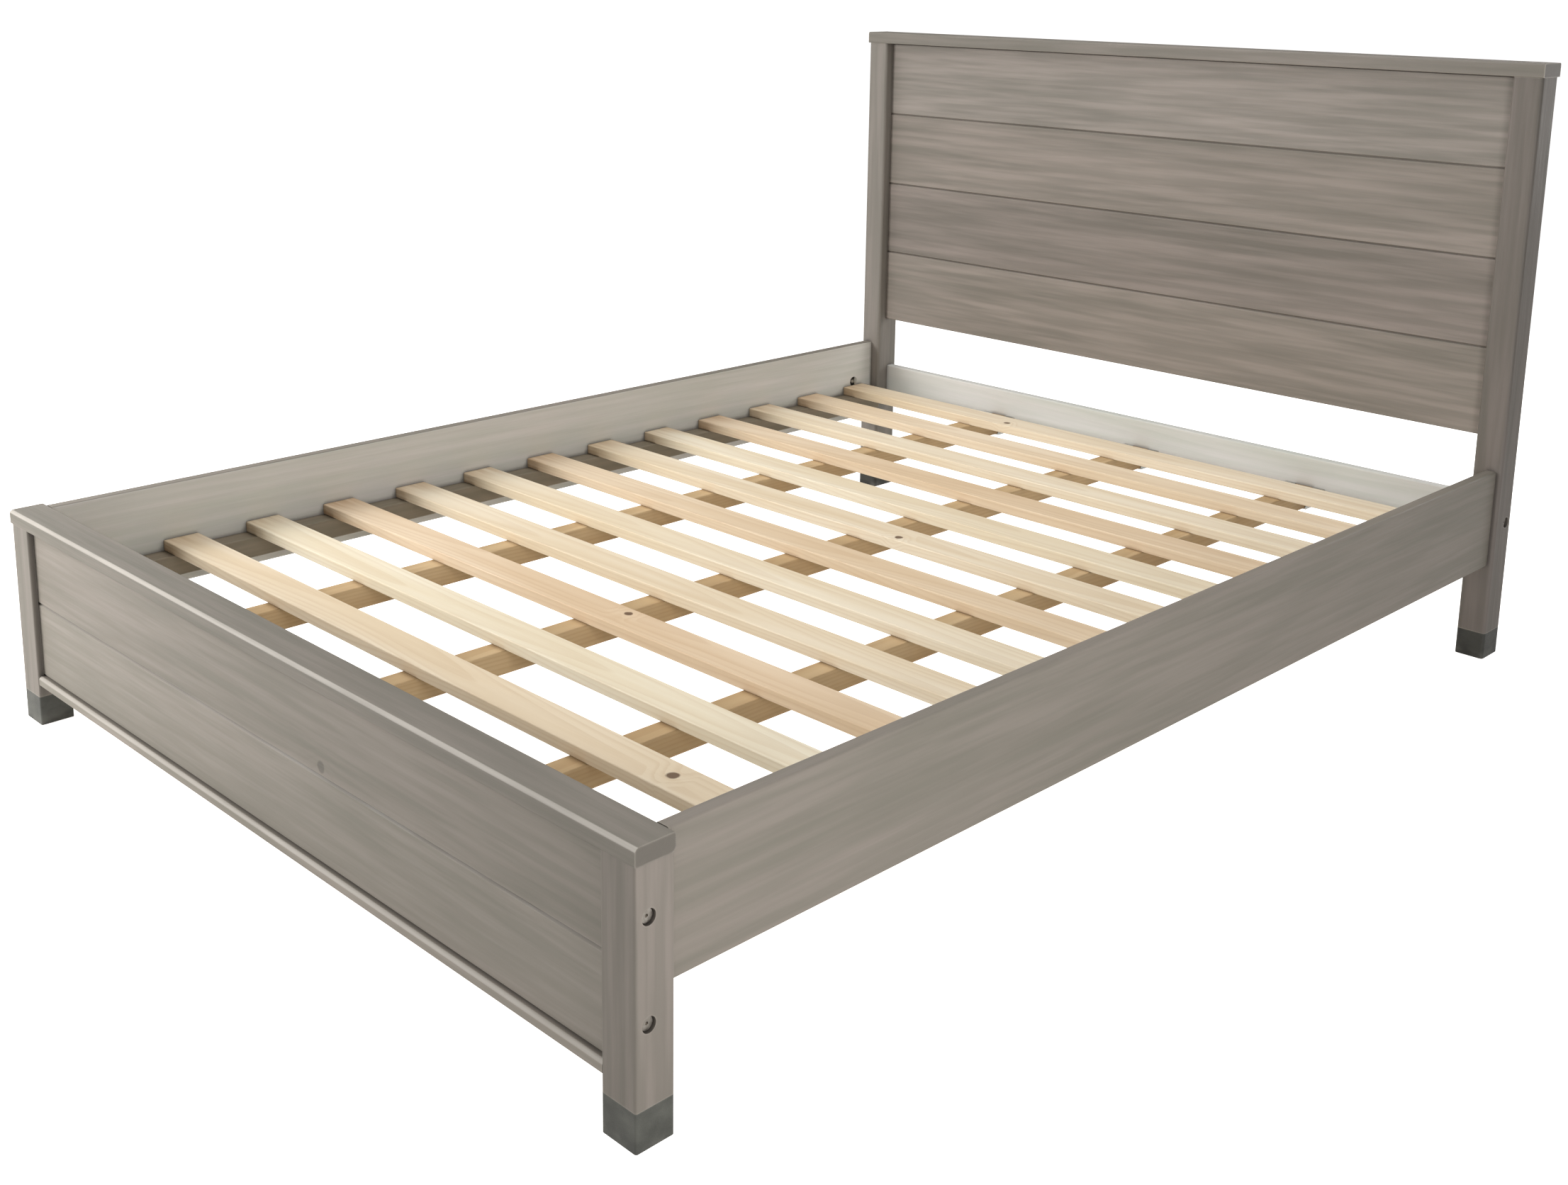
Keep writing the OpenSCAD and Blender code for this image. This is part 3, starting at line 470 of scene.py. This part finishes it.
def planed_pine(piece, lie, seed, sap, rich, known_knot=None):
    """Bare planed pine. sap is its palest wood, and rich the deeper wood beside the heart."""
    finish, tree, shader = new_finish("planed pine " + piece)
    board = board_place(tree, piece, *lie)
    figure = place_group(tree, pine_figure, Board=board, Seed=seed, Ring_Width=0.006,
                         Pith_Depth=0.045)
    if known_knot:
        figure["Rings"].node.inputs["Known Knot"].default_value = known_knot
    edge = place_group(tree, pale_arris, Reach=0.003, Board=board)["Edge"]
    corner = place_group(tree, painted_corner_shade, Reach=0.014)["Corner"]

    colour = mix_of(tree, figure["Drift"], tuple(rich) + (1.0,), tuple(sap) + (1.0,))
    colour = mix_of(tree, math_of(tree, "MULTIPLY", figure["Streaks"], 0.25), colour,
                    tuple(rich) + (1.0,))
    summer = (0.78 * rich[0], 0.68 * rich[1], 0.58 * rich[2], 1.0)
    colour = mix_of(tree, math_of(tree, "MULTIPLY", figure["Rings"], 0.24), colour, summer)

    # The ends are darker: painted shade near where they meet the rails.
    low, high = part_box(piece)
    half = max(high - low) / 2
    dark_from = half - 0.085
    darkest = half - 0.01
    along = tree.nodes.new("ShaderNodeSeparateXYZ")
    put(tree, along.inputs["Vector"], board)
    reach = math_of(tree, "ABSOLUTE", along.outputs["X"])
    end_shade = math_of(tree, "MULTIPLY", ramp_of(tree, reach, dark_from, darkest),
                      ramp_of(tree, figure["Streaks"], 0.0, 0.7, 0.35, 0.60))
    end_shade_colour = (0.58 * rich[0], 0.46 * rich[1], 0.36 * rich[2], 1.0)
    colour = mix_of(tree, end_shade, colour, end_shade_colour)

    fleck = ramp_of(tree, figure["Fibres"], 0.4, 0.75, 0.0, 0.15)
    colour = mix_of(tree, fleck, colour, tuple(1.1 * part for part in sap) + (1.0,))
    colour = mix_of(tree, math_of(tree, "MULTIPLY", figure["Knot"], 0.9), colour,
                    (0.105, 0.052, 0.024, 1.0))
    # Painted shade in grooves and corners, under and between the parts
    colour = mix_of(tree, math_of(tree, "MULTIPLY", corner, 0.45), colour,
                    (0.22, 0.14, 0.08, 1.0))
    colour = mix_of(tree, math_of(tree, "MULTIPLY", edge, 0.18), colour, (0.90, 0.82, 0.66, 1.0))
    put(tree, shader.inputs["Base Color"], colour)
    put(tree, shader.inputs["Roughness"], ramp_of(tree, figure["Fibres"], 0.3, 0.7, 0.55, 0.72))
    shader.inputs["Specular IOR Level"].default_value = 0.3
    emboss(tree, shader, figure["Height"], strength=0.25, distance=0.0005)
    return finish


for place, seed in (("left", 41.2), ("middle", 42.9), ("right", 44.1)):
    dress("bearer_" + place, planed_pine("bearer_" + place, "YXZ", seed, (0.560, 0.410, 0.235),
                                         (0.450, 0.305, 0.155)))

# The slats that have a knot, and where it lies: along the slat, then across it
slat_knots = {
    2: (0.539, 0.001, 0.0),
    4: (0.063, 0.014, 0.0),
    8: (0.096, -0.018, 0.0),
    13: (-0.283, -0.012, 0.0),
}
# How far each slat lies from pale cream at 0 towards pinkish tan at 1, from the foot up
slat_warmth = (0.55, 0.40, 0.00, 0.85, 0.30, 0.20, 0.70, 0.30, 0.10, 0.75, 0.25, 0.60, 0.40)
for count, warmth in enumerate(slat_warmth, start=1):
    slat = f"slat_{count:02d}"
    sap = Vector((0.830, 0.765, 0.625)).lerp(Vector((0.760, 0.600, 0.430)), warmth)
    rich = Vector((0.745, 0.645, 0.470)).lerp(Vector((0.640, 0.460, 0.290)), warmth)
    dress(slat, planed_pine(slat, "XYZ", 50.0 + 1.7 * count, sap, rich,
                            known_knot=slat_knots.get(count)))


# ---------------------------------------------------------------------------------------
# The metal fixings. Rail bolts, nuts, half-moon washers, cross dowels, hangers and screws
# are mild steel with a thin zinc plating, dulled by handling. The bolts sunk in the posts,
# whose heads show, are bronzed to go with the stain.

def worked_steel(name, dull, bright):
    finish, tree, shader = new_finish(name)
    spot = tree.nodes.new("ShaderNodeTexCoord").outputs["Object"]
    bloom = noise_of(tree, vector_of(tree, "MULTIPLY", spot, (160.0, 160.0, 160.0)), detail=4.0)
    drawn = noise_of(tree, vector_of(tree, "MULTIPLY", spot, (300.0, 1800.0, 1800.0)), detail=2.0)
    colour = mix_of(tree, ramp_of(tree, bloom, 0.3, 0.7), dull + (1.0,), bright + (1.0,))
    edge = place_group(tree, pale_arris, Reach=0.0008, Board=spot)["Edge"]
    polished = tuple(1.3 * part for part in bright) + (1.0,)
    colour = mix_of(tree, math_of(tree, "MULTIPLY", edge, 0.5), colour, polished)
    put(tree, shader.inputs["Base Color"], colour)
    put(tree, shader.inputs["Roughness"], ramp_of(tree, bloom, 0.3, 0.7, 0.30, 0.48))
    shader.inputs["Metallic"].default_value = 1.0
    emboss(tree, shader, drawn, strength=0.15, distance=0.0001)
    return finish


plated = worked_steel("plated steel", (0.42, 0.42, 0.40), (0.60, 0.59, 0.56))
for fixing in ("bearer_hangers", "hanger_screws", "slat_screws", "ledger_screws", "shoe_screws",
               "rail_bolts", "half_moon_washers", "rail_nuts", "cross_dowels"):
    dress(fixing, plated, arris=0.0)

bronzed = worked_steel("bronzed steel", (0.300, 0.272, 0.242), (0.420, 0.388, 0.350))
for fixing in ("foot_board_bolts", "head_rail_bolts"):
    dress(fixing, bronzed, arris=0.0)


# ---------------------------------------------------------------------------------------
# The wooden dowels. They are turned beech, glued into the posts, and join the caps, the
# cross rails and the side rails to them.

def turned_beech():
    finish, tree, shader = new_finish("turned beech")
    spot = tree.nodes.new("ShaderNodeTexCoord").outputs["Object"]
    flecks = noise_of(tree, vector_of(tree, "MULTIPLY", spot, (500.0, 500.0, 90.0)), detail=3.0)
    colour = mix_of(tree, ramp_of(tree, flecks, 0.35, 0.7),
                    (0.56, 0.36, 0.21, 1.0), (0.70, 0.50, 0.32, 1.0))
    put(tree, shader.inputs["Base Color"], colour)
    put(tree, shader.inputs["Roughness"], ramp_of(tree, flecks, 0.3, 0.7, 0.55, 0.7))
    emboss(tree, shader, flecks, strength=0.2, distance=0.0002)
    return finish


dowel_finish = turned_beech()
for dowels in ("rail_dowels", "cap_dowels", "low_rail_dowels", "bottom_rail_dowels"):
    dress(dowels, dowel_finish, arris=0.0)


# ---------------------------------------------------------------------------------------
# The floor. It is a broad pale sheet that glows a little, so that the shadows under the
# deck stay faint, and looks brighter to the camera than the light it gives to the bed.

def pale_sheet():
    finish, tree, shader = new_finish("pale sheet")
    spot = tree.nodes.new("ShaderNodeTexCoord").outputs["Object"]
    cloud = noise_of(tree, vector_of(tree, "MULTIPLY", spot, (3.0, 3.0, 3.0)), detail=3.0)
    put(tree, shader.inputs["Base Color"],
        mix_of(tree, cloud, (0.80, 0.80, 0.79, 1.0), (0.82, 0.82, 0.81, 1.0)))
    shader.inputs["Roughness"].default_value = 0.9
    shader.inputs["Specular IOR Level"].default_value = 0.1
    shader.inputs["Emission Color"].default_value = (1.0, 0.995, 0.985, 1.0)
    ray = tree.nodes.new("ShaderNodeLightPath").outputs["Is Camera Ray"]
    put(tree, shader.inputs["Emission Strength"], math_of(tree, "MULTIPLY_ADD", ray, 0.80, 0.12))
    return finish


def lay_floor(half_side):
    sheet = bmesh.new()
    bmesh.ops.create_grid(sheet, x_segments=2, y_segments=2, size=half_side)
    mesh = bpy.data.meshes.new("floor")
    sheet.to_mesh(mesh)
    sheet.free()
    mesh.materials.append(pale_sheet())
    floor = bpy.data.objects.new("floor", mesh)
    floor.location = (0.0, 0.0, cad_box[0].z)
    bpy.context.scene.collection.objects.link(floor)
    return floor


lay_floor(60.0)


# ---------------------------------------------------------------------------------------
# The studio. Five soft lamps light the bed: the key low in front of the foot, to the left,
# then one from the left, one from above, one by the right side and one from behind. A dim
# white surround fills the shadows, and the camera sees it as plain white.

middle = (cad_box[0] + cad_box[1]) / 2


def soft_lamp(name, place, side, power, colour):
    """A square area lamp that looks at the middle of the bed."""
    light = bpy.data.lights.new(name, "AREA")
    light.shape = "SQUARE"
    light.size = side
    light.energy = power
    light.color = colour
    lamp = bpy.data.objects.new(name, light)
    lamp.location = place
    lamp.rotation_euler = (middle - lamp.location).to_track_quat("-Z", "Y").to_euler()
    lamp.visible_camera = False
    bpy.context.scene.collection.objects.link(lamp)
    return lamp


soft_lamp("key lamp", Vector((-1.9, -2.6, 1.35)), 1.2, 78.0, (1.0, 0.985, 0.96))
soft_lamp("left lamp", Vector((-3.4, -0.6, 2.4)), 2.0, 42.0, (1.0, 0.985, 0.96))
soft_lamp("top lamp", Vector((-0.3, 0.5, 3.2)), 2.4, 54.0, (1.0, 0.99, 0.97))
soft_lamp("side lamp", Vector((2.6, -1.1, 0.8)), 0.8, 30.0, (1.0, 0.99, 0.97))
soft_lamp("back lamp", Vector((0.9, 3.6, 1.5)), 1.8, 50.0, (1.0, 0.99, 0.97))

surround = bpy.data.worlds.new("white surround")
surround.use_nodes = True
glow = surround.node_tree.nodes["Background"]
glow.inputs["Color"].default_value = (1.0, 0.998, 0.992, 1.0)
ray = surround.node_tree.nodes.new("ShaderNodeLightPath").outputs["Is Camera Ray"]
put(surround.node_tree, glow.inputs["Strength"],
    math_of(surround.node_tree, "MULTIPLY_ADD", ray, 0.90, 0.22))
bpy.context.scene.world = surround
bpy.context.scene.view_settings.view_transform = "Standard"


# ---------------------------------------------------------------------------------------
# The camera. It stands off the right-hand foot corner, higher than the headboard, and looks
# down across the deck at it. Its lens is shifted so that it needs to tip down less.

eye = Vector((2.098, -2.192, 1.266))
turn = math.radians(45.58)
dip = math.radians(12.53)
lean = math.radians(0.68)

lens = bpy.data.cameras.new("camera")
lens.lens = 41.09
lens.shift_x = 0.0192
lens.shift_y = -0.1478
camera = bpy.data.objects.new("camera", lens)
camera.matrix_world = (Matrix.Translation(eye) @ Matrix.Rotation(turn, 4, "Z")
                       @ Matrix.Rotation(math.pi / 2 - dip, 4, "X")
                       @ Matrix.Rotation(lean, 4, "Z"))
bpy.context.scene.collection.objects.link(camera)
bpy.context.scene.camera = camera
